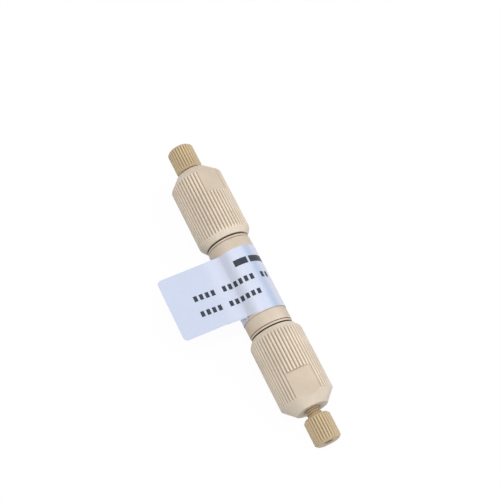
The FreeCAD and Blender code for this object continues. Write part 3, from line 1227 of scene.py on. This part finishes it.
@dataclass
class Studio:
    """Pale floor, soft light and the camera."""

    azimuth: float = 64.441
    elevation: float = 67.318
    distance: float = 424.81
    field: float = 20.94
    aim: Triple = (-9.9136, 4.7683, 4.5976)
    floor_size: float = 3.0  # metres
    floor_grey: float = 0.4  # what the floor gives back to the column
    floor_seen: float = 0.88  # share of plain white in what the floor shows
    floor_glow: float = 1.08
    lamp_size: float = 0.4  # metres
    even_light: float = 0.57

    def set_up(self) -> None:
        """Make the floor, the lamps, the world and the camera."""
        self.lay_floor()
        self.hang_lamp("key_lamp", (0.10, -0.08, 0.60), 2.0)
        self.hang_lamp("side_lamp", (0.05, 0.58, 0.38), 1.65)
        self.light_world()
        self.stand_camera()

    def lay_floor(self) -> None:
        """Lay the floor under the nuts: white to rays that show a background, grey to the column's light."""
        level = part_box("outlet_end_nut")[0].z
        half = self.floor_size / 2
        mesh = bpy.data.meshes.new("floor")
        mesh.from_pydata([(x, y, level) for x, y in ((-half, -half), (half, -half), (half, half), (-half, half))],
                         [], [(0, 1, 2, 3)])
        paint = bpy.data.materials.new("floor")
        board = NodeBoard(paint)
        diffuse = board.add("ShaderNodeBsdfDiffuse")
        diffuse.inputs["Color"].default_value = (*[self.floor_grey] * 3, 1)
        glow = board.add("ShaderNodeEmission", Strength=self.floor_glow)
        white = board.add("ShaderNodeMixShader")
        path = board.add("ShaderNodeLightPath").outputs
        found = path["Is Camera Ray"]
        for kind in ("Is Glossy Ray", "Is Transmission Ray"):
            either = board.add("ShaderNodeMath", operation="MAXIMUM")
            board.wire(found, either.inputs[0])
            board.wire(path[kind], either.inputs[1])
            found = either.outputs[0]
        seen = board.add("ShaderNodeMath", operation="MULTIPLY")
        seen.inputs[1].default_value = self.floor_seen
        board.wire(found, seen.inputs[0])
        board.wire(seen.outputs[0], white.inputs[0])
        board.wire(diffuse.outputs["BSDF"], white.inputs[1])
        board.wire(glow.outputs["Emission"], white.inputs[2])
        board.wire(white.outputs["Shader"], board.output.inputs["Surface"])
        mesh.materials.append(paint)
        floor = bpy.data.objects.new("floor", mesh)
        bpy.context.scene.collection.objects.link(floor)
        floor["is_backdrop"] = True

    def hang_lamp(self, name: str, place: Triple, power: float) -> None:
        """Hang a soft lamp that shines at the column.

        Args:
            name: Name of the lamp.
            place: Where it hangs, in metres.
            power: Its power in watts.
        """
        light = bpy.data.lights.new(name, "AREA")
        light.shape, light.size, light.size_y, light.energy = "RECTANGLE", self.lamp_size, self.lamp_size, power
        lamp = bpy.data.objects.new(name, light)
        lamp.location = place
        lamp.rotation_mode = "QUATERNION"
        lamp.rotation_quaternion = (-Vector(place)).to_track_quat("-Z", "Y")
        bpy.context.scene.collection.objects.link(lamp)

    def light_world(self) -> None:
        """Light everything evenly, and show white behind the floor."""
        world = bpy.data.worlds.new("studio_world")
        board = NodeBoard(world)
        strength = board.add("ShaderNodeMapRange", To_Min=self.even_light, To_Max=1.0)
        background = board.add("ShaderNodeBackground", Color=(1, 1, 1, 1))
        board.wire(board.add("ShaderNodeLightPath").outputs["Is Camera Ray"], strength.inputs["Value"])
        board.wire(strength.outputs["Result"], background.inputs["Strength"])
        board.wire(background.outputs["Background"], board.output.inputs["Surface"])
        bpy.context.scene.world = world

    def stand_camera(self) -> None:
        """Stand the camera at its place round the column."""
        azimuth, elevation = math.radians(self.azimuth), math.radians(self.elevation)
        back = Vector((math.sin(azimuth) * math.cos(elevation), -math.cos(azimuth) * math.cos(elevation),
                       math.sin(elevation)))
        data = bpy.data.cameras.new("camera")
        data.sensor_width = 36.0
        data.lens = data.sensor_width / 2 / math.tan(math.radians(self.field) / 2)
        data.clip_start, data.clip_end = 0.01, 10.0
        camera = bpy.data.objects.new("camera", data)
        camera.location = (Vector(self.aim) + back * self.distance) * MM
        camera.rotation_mode = "QUATERNION"
        camera.rotation_quaternion = (-back).to_track_quat("-Z", "Y")
        bpy.context.scene.collection.objects.link(camera)
        bpy.context.scene.camera = camera


def corners(box: Iterable[Vector]) -> list[list[float]]:
    """A box's corners as plain lists of numbers."""
    return [[float(c) for c in corner] for corner in box]


def main() -> None:
    """Build every piece of the column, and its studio."""
    logging.basicConfig(level=logging.INFO, format="%(name)s: %(message)s", stream=sys.stdout)
    packed = corners(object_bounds())
    flute, finger_flute = 360 / NUT_FLUTES.count, 360 / PLUG_FLUTES.count
    assemblies = [
        Tube(),
        BedSupports(),
        EndNut(ColumnEnd.INLET, roll=3.875 * flute),
        EndNut(ColumnEnd.OUTLET, roll=-0.125 * flute, flutes=replace(NUT_FLUTES, phase=OUTLET_PHASE)),
        FingerPlug(ColumnEnd.INLET, seat=44.95, roll=0.05 * finger_flute),
        FingerPlug(ColumnEnd.OUTLET, seat=46.25, roll=0.68 * finger_flute),
        LabelMaker(WrapLabel(), print_bars()),
    ]
    for assembly in assemblies:
        for piece in assembly.build():
            log.info("%s: %s, %d faces", type(assembly).__name__, piece.name, len(piece.data.polygons))
    Studio().set_up()
    {"cad": packed, "visual": corners(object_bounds())}
    bpy.context.scene.view_settings.view_transform = "Standard"


if __name__ == "__main__":
    main()
